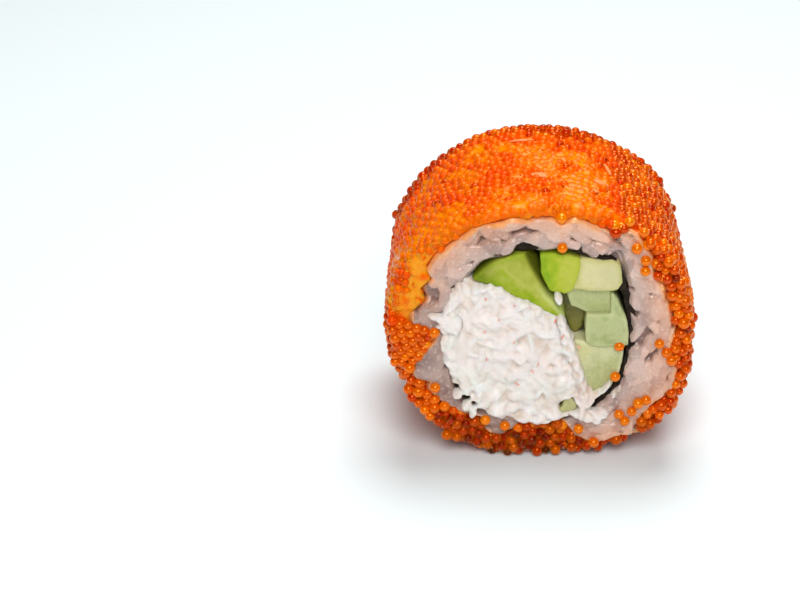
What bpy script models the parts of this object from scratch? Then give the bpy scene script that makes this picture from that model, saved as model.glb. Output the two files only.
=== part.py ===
"""One piece of an inside-out roll: crab salad, avocado and cucumber in seaweed and rice, coated in fish roe.

The piece lies on its side, on a small flat spot under the coat. It runs along Y, with the cut face that shows
at -Y and a like one at +Y. X goes across it and Z up, and the origin is under its middle, on the table.
"""

import math
import random
from collections import namedtuple

import bmesh
import bpy
from mathutils import Vector, noise
from mathutils.bvhtree import BVHTree
from mathutils.geometry import delaunay_2d_cdt

MM = 0.001
SEED = 11

# The whole piece
ROLL_LENGTH = 30.0 * MM  # between the two cut faces
REAR_NARROWING = 0.04  # share of the width that is lost towards the back
GAP = 0.3 * MM  # between two pieces that touch
FLAT_UNDER = 0.45 * MM  # what lies lower than this is pressed flat on the table

# One egg of the roe
EGG_DIAMETER = 1.5 * MM
EGG_SIZE_SPREAD = 0.12

# The cut outlines, from the outside in: middle, half width, half height, and how square the oval is
Oval = namedtuple("Oval", "x z half_width half_height power")
COAT = Oval(0.0, 20.85 * MM, 23.6 * MM, 22.0 * MM, 2.15)
RICE = Oval(0.5 * MM, 21.6 * MM, 20.2 * MM, 19.0 * MM, 2.15)
SEAWEED = Oval(-0.1 * MM, 21.1 * MM, 14.8 * MM, 15.1 * MM, 2.2)
SEAWEED_THICKNESS = 0.5 * MM

# How the coat swells out of its oval, as a share of it: cosine and sine of 1 to 5 waves round it
COAT_SWELL = ((0.028, 0.004), (0.007, -0.006), (-0.003, -0.002), (-0.006, -0.009), (-0.011, 0.009))

# The bumpy skin of the coat: eggs round it, rows of them from one cut face over the side to the other
COAT_COLUMNS = 74
COAT_ROWS = 19
COAT_EDGE_RADIUS = 1.7 * MM
EGG_STANDS_OUT = 0.75 * MM
COAT_WANDER = 0.3 * MM  # slow rise and fall of the coat
COAT_WANDER_LENGTH = 9.0 * MM

# The cut faces of the rice
RICE_COLUMNS = 64
RICE_FACE_ROWS = 3
RICE_RELIEF = 0.55 * MM
RICE_RELIEF_LENGTH = 3.2 * MM
RICE_EDGE_DROP = 0.5 * MM

# Trails of single eggs on the front face: from x, z to x, z in mm, and how many
FRONT_TRAILS = (
    (17.1, 33.2, 17.0, 31.9, 2),
    (15.2, 36.2, 16.6, 34.9, 2),
    (18.1, 19.3, 19.3, 17.4, 3),
    (16.6, 9.6, 13.4, 6.9, 4),
    (11.9, 38.5, 9.6, 39.0, 2),
    (-18.2, 20.0, -16.9, 18.5, 2),
    (-16.9, 13.9, -15.4, 12.1, 2),
)
LOW_EGGS = 14  # strewn over the low part of the front face
REAR_EGGS = 14

# The filling, all as outlines on the cut face in mm. A corner that lies past the seaweed is brought back to it.
AVOCADO_WEDGE = ((-11.2, 31.3), (-5.5, 36.0), (-0.6, 36.5), (0.9, 31.2), (2.1, 28.2), (4.0, 24.5), (-1.8, 27.3))
AVOCADO_GREEN_BLOCK = ((0.4, 36.5), (5.5, 36.5), (5.4, 31.5), (4.6, 28.7), (1.9, 29.0), (0.7, 31.6))
AVOCADO_PALE_BLOCK = ((5.8, 35.5), (10.3, 34.3), (12.1, 32.8), (12.0, 29.8), (10.6, 28.7), (4.9, 28.8), (5.6, 31.5))
CUCUMBER_TOP = ((4.6, 28.6), (10.8, 28.6), (11.1, 24.5), (8.9, 24.2), (6.7, 24.8), (5.0, 26.6))
CUCUMBER_MIDDLE = ((7.0, 24.2), (11.0, 24.2), (12.7, 25.4), (13.8, 22.6), (13.6, 19.5), (6.9, 19.5))
CUCUMBER_LOW = ((5.4, 20.1), (6.8, 19.5), (13.8, 19.5), (13.6, 15.8), (12.0, 12.4), (8.7, 9.9), (7.4, 12.8), (6.3, 16.6))
CUCUMBER_INNER = ((2.7, 28.6), (4.5, 28.4), (4.8, 26.5), (6.7, 24.3), (6.7, 19.7), (5.1, 20.4), (4.5, 24.6))
CUCUMBER_SLIVER = ((3.4, 7.2), (3.9, 9.9), (5.6, 10.6), (6.7, 9.4), (6.6, 8.2))
CRAB_SALAD = (
    (-14.5, 29.0),
    (-11.3, 31.0),
    (-1.9, 27.0),
    (4.0, 24.1),
    (4.6, 21.0),
    (6.1, 16.4),
    (7.2, 12.6),
    (8.5, 9.6),
    (7.1, 8.4),
    (6.9, 9.6),
    (5.7, 10.9),
    (3.7, 10.2),
    (3.1, 7.1),
    (1.4, 5.4),
    (-4.0, 4.4),
    (-10.0, 5.5),
    (-14.8, 12.0),
    (-15.5, 20.0),
)

# How the filling's ends are made
STICK_CORNER = 0.9 * MM
STICK_EDGE = 0.35 * MM
SALAD_CORNER = 0.9 * MM
SALAD_OUTLINE_STEP = 2.4 * MM
SALAD_LUMP = 2.1 * MM  # from one lump of the cut face to the next
SALAD_RELIEF = 0.75 * MM
SALAD_EDGE_DROP = 0.5 * MM

# Colours and finishes: base colour, roughness
FINISHES = {
    "roe": ((0.90, 0.22, 0.02), 0.25),
    "rice": ((0.83, 0.72, 0.67), 0.45),
    "seaweed": ((0.02, 0.022, 0.015), 0.55),
    "crab": ((0.90, 0.86, 0.81), 0.45),
    "avocado_green": ((0.45, 0.62, 0.10), 0.4),
    "avocado_pale": ((0.74, 0.74, 0.38), 0.4),
    "cucumber": ((0.58, 0.70, 0.34), 0.3),
}


def clear_scene():
    """Removes what the start-up file holds."""
    for old in list(bpy.data.objects):
        bpy.data.objects.remove(old)


def finish(name):
    """The material of that name, made once."""
    found = bpy.data.materials.get(name)
    if found:
        return found
    colour, roughness = FINISHES[name]
    made = bpy.data.materials.new(name)
    made.use_nodes = True
    shader = made.node_tree.nodes["Principled BSDF"]
    shader.inputs["Base Color"].default_value = (*colour, 1.0)
    shader.inputs["Roughness"].default_value = roughness
    shader.inputs["Metallic"].default_value = 0.0
    return made


def add_solid(name, points, faces, finish_name, smooth=True):
    """A closed mesh object with its faces pointing out."""
    mesh = bpy.data.meshes.new(name)
    mesh.from_pydata(points, [], faces)
    shape = bmesh.new()
    shape.from_mesh(mesh)
    bmesh.ops.recalc_face_normals(shape, faces=shape.faces)
    if shape.calc_volume(signed=True) < 0.0:
        bmesh.ops.reverse_faces(shape, faces=shape.faces)
    bmesh.ops.triangulate(shape, faces=shape.faces)
    shape.to_mesh(mesh)
    shape.free()
    if smooth:
        mesh.shade_smooth()
    mesh.materials.append(finish(finish_name))
    made = bpy.data.objects.new(name, mesh)
    bpy.context.scene.collection.objects.link(made)
    return made


def grown(oval, by):
    """The same oval, larger by that much all round."""
    return oval._replace(half_width=oval.half_width + by, half_height=oval.half_height + by)


def on_oval(oval, angle):
    """The point x, z of an oval at an angle from +X."""
    across, up = math.cos(angle), math.sin(angle)
    share = 2.0 / oval.power
    return (
        oval.x + oval.half_width * math.copysign(abs(across) ** share, across),
        oval.z + oval.half_height * math.copysign(abs(up) ** share, up),
    )


def on_coat(angle, by):
    """The point x, z of the coat's outline at an angle from +X, moved out by that much."""
    x, z = on_oval(grown(COAT, by), angle)
    swell = 1.0
    for turns, (share_cos, share_sin) in enumerate(COAT_SWELL, start=1):
        swell += share_cos * math.cos(turns * angle) + share_sin * math.sin(turns * angle)
    return COAT.x + (x - COAT.x) * swell, COAT.z + (z - COAT.z) * swell


def narrowed(x, y):
    """x, drawn in towards the back of the piece."""
    return x * (1.0 - REAR_NARROWING * (0.5 + y / ROLL_LENGTH))


def wander(x, y, z, length, seed=0.0):
    """A smooth value from about -1 to 1 that changes over that length."""
    return noise.noise(Vector((x, y, z)) / length + Vector((seed, 2.0 * seed, -seed)))


def coat_profile(way, thickness):
    """From the coat's inner edge on the front face, over its side, to its inner edge on the back face.

    way is 0 to 1. Returns how far out the point is, its y, and the outward and lengthwise parts of its normal.
    """
    radius = min(COAT_EDGE_RADIUS, 0.8 * thickness)
    face, arc, side = thickness - radius, 0.5 * math.pi * radius, ROLL_LENGTH - 2.0 * radius
    whole = 2.0 * (face + arc) + side
    mirrored = way > 0.5
    run = (1.0 - way if mirrored else way) * whole
    if run < face:
        out, y, normal_out, normal_along = run, -0.5 * ROLL_LENGTH, 0.0, -1.0
    elif run < face + arc:
        turn = (run - face) / radius
        out = face + radius * math.sin(turn)
        y = -0.5 * ROLL_LENGTH + radius * (1.0 - math.cos(turn))
        normal_out, normal_along = math.sin(turn), -math.cos(turn)
    else:
        out, y = thickness, -0.5 * ROLL_LENGTH + radius + run - face - arc
        normal_out, normal_along = 1.0, 0.0
    if mirrored:
        y, normal_along = -y, -normal_along
    return out, y, normal_out, normal_along


def coat_point(angle, way, height):
    """A point of the coat's skin, that height above the lowest place between eggs."""
    inner = Vector(on_oval(grown(RICE, GAP), angle))
    valley = Vector(on_coat(angle, -EGG_STANDS_OUT))
    outward = (valley - inner).normalized()
    out, y, normal_out, normal_along = coat_profile(way, (valley - inner).length)
    place = inner + outward * out
    rise = height + normal_out * COAT_WANDER * wander(place.x, y, place.y, COAT_WANDER_LENGTH)
    place = place + outward * rise * normal_out
    y += rise * normal_along
    z = 0.0 if place.y < FLAT_UNDER else place.y
    return narrowed(place.x, y), y, z


def build_roe_coat():
    """The coat: a sleeve whose skin has a bump for each egg.

    The eggs sit in staggered rows. Each is a low pyramid with six sides, between the low places where it meets
    its neighbours. The first and last rows are the sleeve's inner edges, which have no bumps.
    """
    draw = random.Random(SEED)
    points, eggs, lows = [], {}, {}

    def add(table, key, column, row, height, shake):
        angle = 2.0 * math.pi * (column + draw.uniform(-shake, shake)) / COAT_COLUMNS
        way = (row + draw.uniform(-shake, shake)) / COAT_ROWS
        table[key] = len(points)
        points.append(coat_point(angle, way, height))

    for row in range(COAT_ROWS + 1):
        at_edge = row in (0, COAT_ROWS)
        for column in range(COAT_COLUMNS):
            height = 0.0 if at_edge else EGG_STANDS_OUT * draw.uniform(0.8, 1.0)
            add(eggs, (row, column), column + 0.5 * (row % 2), row, height, 0.0 if at_edge else 0.12)
    for row in range(COAT_ROWS):
        for step in range(2 * COAT_COLUMNS):
            # Triangles between two rows stand on their base and on their tip by turns.
            leans = 1.0 / 3.0 if (step + row) % 2 == 0 else 2.0 / 3.0
            add(lows, (row, step), 0.5 * step + 0.5, row + leans, 0.0, 0.05)

    def egg(row, column):
        return eggs[(row, column % COAT_COLUMNS)]

    def low(row, step):
        return lows[(row, step % (2 * COAT_COLUMNS))]

    faces = []
    for row in range(COAT_ROWS + 1):
        for column in range(COAT_COLUMNS):
            first = 2 * column + row % 2
            above = [low(row, first + turn) for turn in (0, -1, -2)] if row < COAT_ROWS else []
            below = [low(row - 1, first + turn) for turn in (-2, -1, 0)] if row > 0 else []
            if row == 0:
                loop = [egg(row, column + 1), *above]
                faces += [(egg(row, column), loop[k], loop[k + 1]) for k in range(3)]
            elif row == COAT_ROWS:
                loop = [*below, egg(row, column + 1)]
                faces += [(egg(row, column), loop[k], loop[k + 1]) for k in range(3)]
            else:
                loop = above + below
                faces += [(egg(row, column), loop[k], loop[(k + 1) % 6]) for k in range(6)]
    for column in range(COAT_COLUMNS):
        faces.append(
            (egg(0, column), egg(0, column + 1), egg(COAT_ROWS, column + 1), egg(COAT_ROWS, column))
        )
    return add_solid("roe_coat", points, faces, "roe")


def rice_face_y(x, z, share, side):
    """The y of the rice's cut face. share is 0 at its inner edge and 1 at its outer edge, side is -1 or 1."""
    lump = RICE_RELIEF * wander(x, 0.0, z, RICE_RELIEF_LENGTH, seed=3.0 + side)
    rounding = RICE_EDGE_DROP * (2.0 * share - 1.0) ** 4
    return side * (0.5 * ROLL_LENGTH + lump - rounding)


def build_rice_ring():
    """The rice: a thick sleeve with lumpy cut faces, and the single eggs that lie on them fused on."""
    inner, outer = grown(SEAWEED, GAP), RICE
    points, faces = [], []
    rows = 2 * (RICE_FACE_ROWS + 1)
    for column in range(RICE_COLUMNS):
        angle = 2.0 * math.pi * column / RICE_COLUMNS
        near, far = Vector(on_oval(inner, angle)), Vector(on_oval(outer, angle))
        for row in range(rows):
            side = -1 if row <= RICE_FACE_ROWS else 1
            share = (row if side < 0 else rows - 1 - row) / RICE_FACE_ROWS
            place = near.lerp(far, share)
            y = rice_face_y(place.x, place.y, share, side)
            points.append((narrowed(place.x, y), y, place.y))
    for column in range(RICE_COLUMNS):
        a, b = column * rows, (column + 1) % RICE_COLUMNS * rows
        for row in range(rows):
            after = (row + 1) % rows
            faces.append((a + row, b + row, b + after, a + after))
    ring = add_solid("rice_ring", points, faces, "rice")
    surface = BVHTree.FromPolygons(points, faces)
    union_with(ring, [build_face_egg(surface, place, side) for place, side in face_egg_places()])
    return ring


def face_egg_places():
    """Where single eggs lie on the two cut faces, as ((x, z), side)."""
    draw = random.Random(SEED + 1)
    apart = 1.02 * EGG_DIAMETER
    inner, outer = grown(SEAWEED, GAP + 0.62 * EGG_DIAMETER), grown(RICE, -0.62 * EGG_DIAMETER)
    chosen = []
    for x0, z0, x1, z1, count in FRONT_TRAILS:
        for step in range(count):
            share = step / (count - 1)
            place = Vector((x0 + (x1 - x0) * share, z0 + (z1 - z0) * share)) * MM
            chosen.append((within(outer, place), -1))

    def strew(count, side, first_angle, last_angle):
        wanted = len(chosen) + count
        while len(chosen) < wanted:
            angle = math.radians(draw.uniform(first_angle, last_angle))
            place = Vector(on_oval(inner, angle)).lerp(Vector(on_oval(outer, angle)), draw.random())
            if all(other != side or (place - spot).length > apart for spot, other in chosen):
                chosen.append((place, side))

    strew(LOW_EGGS, -1, 215.0, 300.0)
    strew(REAR_EGGS, 1, 0.0, 360.0)
    return chosen


def build_face_egg(surface, place, side):
    """One egg with few sides, sunk a little into the rice's cut face."""
    radius = 0.5 * EGG_DIAMETER * (1.0 + EGG_SIZE_SPREAD * math.sin(place.x / MM))
    x = narrowed(place.x, 0.5 * side * ROLL_LENGTH)
    touched = surface.ray_cast(Vector((x, side * ROLL_LENGTH, place.y)), Vector((0.0, -side, 0.0)))[0]
    mesh = bpy.data.meshes.new("egg")
    shape = bmesh.new()
    bmesh.ops.create_icosphere(shape, subdivisions=1, radius=radius)
    shape.to_mesh(mesh)
    shape.free()
    made = bpy.data.objects.new("egg", mesh)
    made.location = (x, touched.y + side * 0.25 * radius, place.y)
    made.rotation_euler = (place.x / MM, place.y / MM, 0.0)
    return made


def union_with(target, pieces):
    """Joins the pieces to the target with one Boolean union, and removes them."""
    group = bpy.data.collections.new("joined")
    bpy.context.scene.collection.children.link(group)
    for piece in pieces:
        group.objects.link(piece)
    union = target.modifiers.new("Union", "BOOLEAN")
    union.operation = "UNION"
    union.operand_type = "COLLECTION"
    union.collection = group
    union.solver = "EXACT"
    apply_modifier(target, union)
    for piece in pieces:
        bpy.data.objects.remove(piece)
    bpy.data.collections.remove(group)


def apply_modifier(target, modifier):
    bpy.ops.object.select_all(action="DESELECT")
    bpy.context.view_layer.objects.active = target
    target.select_set(True)
    bpy.ops.object.modifier_apply(modifier=modifier.name)


def build_seaweed():
    """The sheet of seaweed between the rice and the filling."""
    columns = 48
    inner, outer = grown(SEAWEED, -SEAWEED_THICKNESS), SEAWEED
    half = 0.5 * ROLL_LENGTH - 0.25 * MM
    points, faces = [], []
    for column in range(columns):
        angle = 2.0 * math.pi * column / columns
        for oval, y in ((inner, -half), (outer, -half), (outer, half), (inner, half)):
            x, z = on_oval(oval, angle)
            points.append((narrowed(x, y), y, z))
    for column in range(columns):
        a, b = 4 * column, 4 * ((column + 1) % columns)
        for row in range(4):
            after = (row + 1) % 4
            faces.append((a + row, b + row, b + after, a + after))
    return add_solid("seaweed_wrap", points, faces, "seaweed")


def rounded(corners_mm, radius, step):
    """A closed outline through the corners, each rounded by a short curve, with points about a step apart."""
    corners = [Vector(corner) * MM for corner in corners_mm]
    outline = []
    for k, corner in enumerate(corners):
        before, after = corners[k - 1] - corner, corners[(k + 1) % len(corners)] - corner
        start = corner + before.normalized() * min(radius, 0.4 * before.length)
        end = corner + after.normalized() * min(radius, 0.4 * after.length)
        outline += [start, 0.25 * start + 0.5 * corner + 0.25 * end, end]
        following = corners[(k + 1) % len(corners)]
        back = corner - following
        stop = following + back.normalized() * min(radius, 0.4 * back.length)
        extra = int((stop - end).length / step)
        outline += [end.lerp(stop, (n + 1) / (extra + 1)) for n in range(extra)]
    return outline


def inset(outline, by):
    """The outline, moved inwards. Its corners may run either way round."""
    area = sum(a.x * b.y - b.x * a.y for a, b in zip(outline, outline[1:] + outline[:1]))
    turn = 1.0 if area > 0.0 else -1.0
    moved = []
    for k, place in enumerate(outline):
        along = (outline[(k + 1) % len(outline)] - outline[k - 1]).normalized()
        moved.append(place + turn * by * Vector((-along.y, along.x)))
    return moved


def within(oval, place):
    """place, brought back to the oval if it lies outside."""
    across, up = (place.x - oval.x) / oval.half_width, (place.y - oval.z) / oval.half_height
    reach = (abs(across) ** oval.power + abs(up) ** oval.power) ** (1.0 / oval.power)
    if reach <= 1.0:
        return place
    return Vector((oval.x + across / reach * oval.half_width, oval.z + up / reach * oval.half_height))


def filling_outline(corners_mm, radius, step):
    """An outline of one piece of the filling, clear of the seaweed and of its neighbours."""
    room = grown(SEAWEED, -SEAWEED_THICKNESS - GAP)
    outline = [within(room, place) for place in inset(rounded(corners_mm, radius, step), 0.5 * GAP)]
    return [place for k, place in enumerate(outline) if (place - outline[k - 1]).length > 0.5 * GAP]


def loft(name, rings, finish_name):
    """A solid through rings of x, y, z points, with a point in the middle of its first and last ring."""
    count = len(rings[0])
    points = [place for ring in rings for place in ring]
    faces = []
    for level in range(len(rings) - 1):
        a, b = level * count, (level + 1) * count
        for k in range(count):
            after = (k + 1) % count
            faces.append((a + k, a + after, b + after, b + k))
    for first, ring in ((0, rings[0]), ((len(rings) - 1) * count, rings[-1])):
        middle = sum((Vector(place) for place in ring), Vector()) / count
        points.append(tuple(middle))
        for k in range(count):
            faces.append((first + k, first + (k + 1) % count, len(points) - 1))
    return add_solid(name, points, faces, finish_name)


def build_stick(name, corners_mm, finish_name, front_set_back=0.0, rear_set_back=0.0):
    """A stick of fruit that runs through the roll, with its end edges a little rounded."""
    outline = filling_outline(corners_mm, STICK_CORNER, 3.0 * MM)
    drawn_in = inset(outline, STICK_EDGE)
    front, rear = -0.5 * ROLL_LENGTH + front_set_back, 0.5 * ROLL_LENGTH - rear_set_back
    levels = (
        (drawn_in, front),
        (outline, front + STICK_EDGE),
        (outline, rear - STICK_EDGE),
        (drawn_in, rear),
    )
    rings = [[(narrowed(place.x, y), y, place.y) for place in shape] for shape, y in levels]
    return loft(name, rings, finish_name)


def build_crab_salad():
    """The crab salad: one long lump with a craggy face at both ends."""
    outline = filling_outline(CRAB_SALAD, SALAD_CORNER, SALAD_OUTLINE_STEP)
    draw = random.Random(SEED + 2)
    points, faces = [], []
    for side in (-1, 1):
        base = len(points)
        flat = outline + lumps_within(outline, draw)
        ends = [(k, (k + 1) % len(outline)) for k in range(len(outline))]
        flat, _, cells, *_ = delaunay_2d_cdt(flat, ends, [], 1, 1e-7)
        for k, place in enumerate(flat):
            rise = -SALAD_EDGE_DROP if k < len(outline) else SALAD_RELIEF * draw.uniform(-0.6, 1.0)
            y = side * (0.5 * ROLL_LENGTH + rise)
            points.append((narrowed(place.x, y), y, place.y))
        faces += [[base + k for k in cell] for cell in cells]
    for k in range(len(outline)):
        after = (k + 1) % len(outline)
        faces.append((k, after, base + after, base + k))
    return add_solid("crab_salad", points, faces, "crab")


def lumps_within(outline, draw):
    """Places for the lumps of a cut face, in staggered rows and shaken, all well inside the outline."""
    xs, zs = [place.x for place in outline], [place.y for place in outline]
    found, z, odd = [], min(zs), False
    while z < max(zs):
        x = min(xs) + (0.5 * SALAD_LUMP if odd else 0.0)
        while x < max(xs):
            place = Vector((x, z)) + 0.25 * SALAD_LUMP * Vector((draw.uniform(-1, 1), draw.uniform(-1, 1)))
            if inside(outline, place) and all((place - edge).length > 0.45 * SALAD_LUMP for edge in outline):
                found.append(place)
            x += SALAD_LUMP
        z, odd = z + 0.87 * SALAD_LUMP, not odd
    return found


def inside(outline, place):
    """Whether the place lies inside the closed outline."""
    crossings = 0
    for a, b in zip(outline, outline[1:] + outline[:1]):
        if (a.y > place.y) != (b.y > place.y):
            crossings += place.x < a.x + (b.x - a.x) * (place.y - a.y) / (b.y - a.y)
    return crossings % 2 == 1


def build_fruit():
    """The sticks of avocado and cucumber, some cut a little short of the face."""
    build_stick("avocado_wedge", AVOCADO_WEDGE, "avocado_green")
    build_stick("avocado_green_block", AVOCADO_GREEN_BLOCK, "avocado_green", 0.2 * MM, 0.3 * MM)
    build_stick("avocado_pale_block", AVOCADO_PALE_BLOCK, "avocado_pale", 0.1 * MM, 0.4 * MM)
    build_stick("cucumber_top", CUCUMBER_TOP, "cucumber", 1.0 * MM, 0.2 * MM)
    build_stick("cucumber_middle", CUCUMBER_MIDDLE, "cucumber", 0.1 * MM, 0.9 * MM)
    build_stick("cucumber_low", CUCUMBER_LOW, "cucumber", 0.7 * MM, 0.3 * MM)
    build_stick("cucumber_inner", CUCUMBER_INNER, "cucumber", 3.6 * MM, 2.4 * MM)
    build_stick("cucumber_sliver", CUCUMBER_SLIVER, "cucumber", 0.3 * MM, 0.3 * MM)


def main():
    clear_scene()
    build_roe_coat()
    build_rice_ring()
    build_seaweed()
    build_crab_salad()
    build_fruit()


main()
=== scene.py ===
import math
import random

import bpy
import numpy as np
from mathutils import Matrix, Vector, noise
from mathutils.bvhtree import BVHTree
from mathutils.kdtree import KDTree


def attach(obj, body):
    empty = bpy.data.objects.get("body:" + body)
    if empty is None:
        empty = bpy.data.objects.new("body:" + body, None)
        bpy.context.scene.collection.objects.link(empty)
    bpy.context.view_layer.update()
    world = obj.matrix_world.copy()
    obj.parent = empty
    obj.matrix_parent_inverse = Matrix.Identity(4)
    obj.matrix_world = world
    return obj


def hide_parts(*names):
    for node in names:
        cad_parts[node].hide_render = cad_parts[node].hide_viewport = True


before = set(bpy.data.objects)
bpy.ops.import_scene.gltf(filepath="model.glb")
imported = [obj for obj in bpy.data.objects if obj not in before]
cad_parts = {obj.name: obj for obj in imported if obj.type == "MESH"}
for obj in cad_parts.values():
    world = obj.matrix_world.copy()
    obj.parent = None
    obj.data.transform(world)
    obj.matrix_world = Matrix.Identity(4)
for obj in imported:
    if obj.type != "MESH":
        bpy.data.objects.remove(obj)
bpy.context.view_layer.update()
print("frame loaded, nodes:", len(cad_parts))

# Places are worked out in mm and written to meshes in metres.
mm = 0.001

roll = {
    "length": 30.0,
    "rearNarrowing": 0.04,
    "middle": 21.0,  # height of its axis
    # middle x, middle z, half width, half height, squareness
    "coat": (0.0, 20.85, 23.6, 22.0, 2.15),
    "rice": (0.5, 21.6, 20.2, 19.0, 2.15),
    "seaweed": (-0.1, 21.1, 14.8, 15.1, 2.2),
    # how the coat swells out of its oval: cosine and sine of 1 to 5 waves round it
    "swell": ((0.028, 0.004), (0.007, -0.006), (-0.003, -0.002), (-0.006, -0.009), (-0.011, 0.009)),
}
half = 0.5 * roll["length"]

# Where the rice stops and the roe starts on the front face, from the top towards the left, as x, z
riceEdge = np.array([
    (-0.2, 41.1), (-2.2, 40.2), (-4.3, 40.6), (-6.0, 39.8), (-9.5, 39.2), (-12.9, 36.5), (-15.6, 34.3),
    (-17.0, 31.8), (-16.0, 30.4), (-17.8, 28.6), (-16.9, 26.7), (-19.3, 24.5), (-19.3, 22.9), (-16.9, 21.8),
    (-15.4, 20.4), (-16.6, 18.8), (-18.6, 16.4), (-19.1, 14.0), (-17.6, 12.5), (-16.2, 13.2), (-16.8, 11.4),
    (-14.4, 8.9), (-11.9, 7.5), (-8.4, 6.6), (-7.8, 4.4), (-6.6, 3.2), (-5.2, 3.1), (-3.8, 4.2), (-1.6, 5.8),
    (4.8, 5.8), (5.6, 3.4), (9.5, 1.9), (12.2, 3.2), (16.4, 3.8), (16.1, 6.8), (18.3, 9.4), (20.8, 11.6),
    (21.4, 15.0), (20.3, 19.0), (20.7, 22.3), (19.8, 25.2), (18.6, 29.6), (17.1, 31.5), (16.8, 34.3),
    (14.4, 38.2), (13.0, 39.0), (11.5, 38.2), (8.2, 39.3), (4.9, 40.8), (3.1, 39.7), (1.4, 40.8),
])


def ovalPlaces(oval, angles, grow=0.0):
    middleX, middleZ, halfWidth, halfHeight, power = oval
    across, up = np.cos(angles), np.sin(angles)
    share = 2.0 / power
    x = middleX + (halfWidth + grow) * np.sign(across) * np.abs(across) ** share
    z = middleZ + (halfHeight + grow) * np.sign(up) * np.abs(up) ** share
    return np.stack([x, z], axis=-1)


def coatPlaces(angles, grow=0.0):
    share = 1.0
    for turns, (across, up) in enumerate(roll["swell"], start=1):
        share = share + across * np.cos(turns * angles) + up * np.sin(turns * angles)
    middle = np.array(roll["coat"][:2])
    return middle + (ovalPlaces(roll["coat"], angles, grow) - middle) * share[..., None]


def ovalShare(oval, x, z, grow=0.0):  # 0 in the middle, 1 on the oval
    middleX, middleZ, halfWidth, halfHeight, power = oval
    across = np.abs((x - middleX) / (halfWidth + grow))
    up = np.abs((z - middleZ) / (halfHeight + grow))
    return (across**power + up**power) ** (1.0 / power)


def turnOf(places):  # degrees round the roll's axis, from X
    return np.degrees(np.arctan2(places[:, 2] - roll["middle"], places[:, 0]))


def insideEdge(edge, x, z):
    crossings = np.zeros(np.shape(x), int)
    for (ax, az), (bx, bz) in zip(edge, np.roll(edge, -1, axis=0)):
        if az != bz:
            at = ax + (bx - ax) * (z - az) / (bz - az)
            crossings += ((az > z) != (bz > z)) & (x < at)
    return crossings % 2 == 1


def narrowed(places):
    x = places[:, 0] * (1.0 - roll["rearNarrowing"] * (0.5 + places[:, 1] / roll["length"]))
    return np.column_stack([x, places[:, 1:]])


def ripple(places, length, seed=0.0):
    shift = Vector((seed, -seed, 2.0 * seed))
    return np.array([noise.noise(Vector(place) / length + shift) for place in places])


def ripples(places, length):  # one of its own for each axis
    return np.column_stack([ripple(places, length, seed) for seed in (1.0, 2.0, 3.0)])


def smoothStep(low, high, value):
    share = np.clip((value - low) / (high - low), 0.0, 1.0)
    return share * share * (3.0 - 2.0 * share)


def standing(flat, y):  # spots as x, z put at y
    return np.column_stack([flat[:, 0], y, flat[:, 1]])


def treeOf(places):
    tree = KDTree(len(places))
    for number, place in enumerate(places):
        tree.insert(place, number)
    tree.balance()
    return tree


def newObject(name, data):
    piece = bpy.data.objects.new(name, data)
    bpy.context.scene.collection.objects.link(piece)
    return piece


def added(name, primitive, **values):
    bpy.ops.object.select_all(action="DESELECT")
    primitive(**values)
    piece = bpy.context.object
    piece.name = piece.data.name = name
    return piece


def band(value, setsIn, ends):  # 1 between the two, 0 outside
    return smoothStep(*setsIn, value) * (1.0 - smoothStep(*ends, value))


def selectOnly(piece):
    bpy.ops.object.select_all(action="DESELECT")
    piece.select_set(True)
    bpy.context.view_layer.objects.active = piece


def readPlaces(piece):
    flat = np.empty(len(piece.data.vertices) * 3, np.float32)
    piece.data.vertices.foreach_get("co", flat)
    return flat.reshape(-1, 3).astype(float) / mm


def readNormals(piece):
    return np.array([vertex.normal for vertex in piece.data.vertices])


def writePlaces(piece, places):
    piece.data.vertices.foreach_set("co", (places * mm).astype(np.float32).ravel())
    piece.data.update()


def addMasks(piece, **masks):  # each has a value for every point, for a material to read
    for name, values in masks.items():
        mask = piece.data.attributes.new(name, "FLOAT", "POINT")
        mask.data.foreach_set("value", np.asarray(values, np.float32))


def applyModifier(piece, kind, **values):
    selectOnly(piece)
    modifier = piece.modifiers.new(kind.title(), kind)
    for name, value in values.items():
        setattr(modifier, name, value)
    bpy.ops.object.modifier_apply(modifier=modifier.name)


def closeUp(piece, distance=0.002):
    selectOnly(piece)
    bpy.ops.object.mode_set(mode="EDIT")
    bpy.ops.mesh.select_all(action="SELECT")
    bpy.ops.mesh.remove_doubles(threshold=distance * mm)
    bpy.ops.mesh.normals_make_consistent(inside=False)
    bpy.ops.object.mode_set(mode="OBJECT")
    bpy.ops.object.shade_smooth()


def shadeSmooth(piece):
    selectOnly(piece)
    bpy.ops.object.shade_smooth()


# A grid whose two directions are led round a closed form. placeOf may fill masks with values for each point
def wrappedGrid(name, columns, rows, placeOf, masks=None):
    grid = bpy.ops.mesh.primitive_grid_add
    piece = added(name, grid, x_subdivisions=columns, y_subdivisions=rows, size=1.0)
    flat = readPlaces(piece) * mm + 0.5
    writePlaces(piece, placeOf(flat[:, 0], flat[:, 1]))
    addMasks(piece, **(masks or {}))
    closeUp(piece)
    return piece


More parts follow.
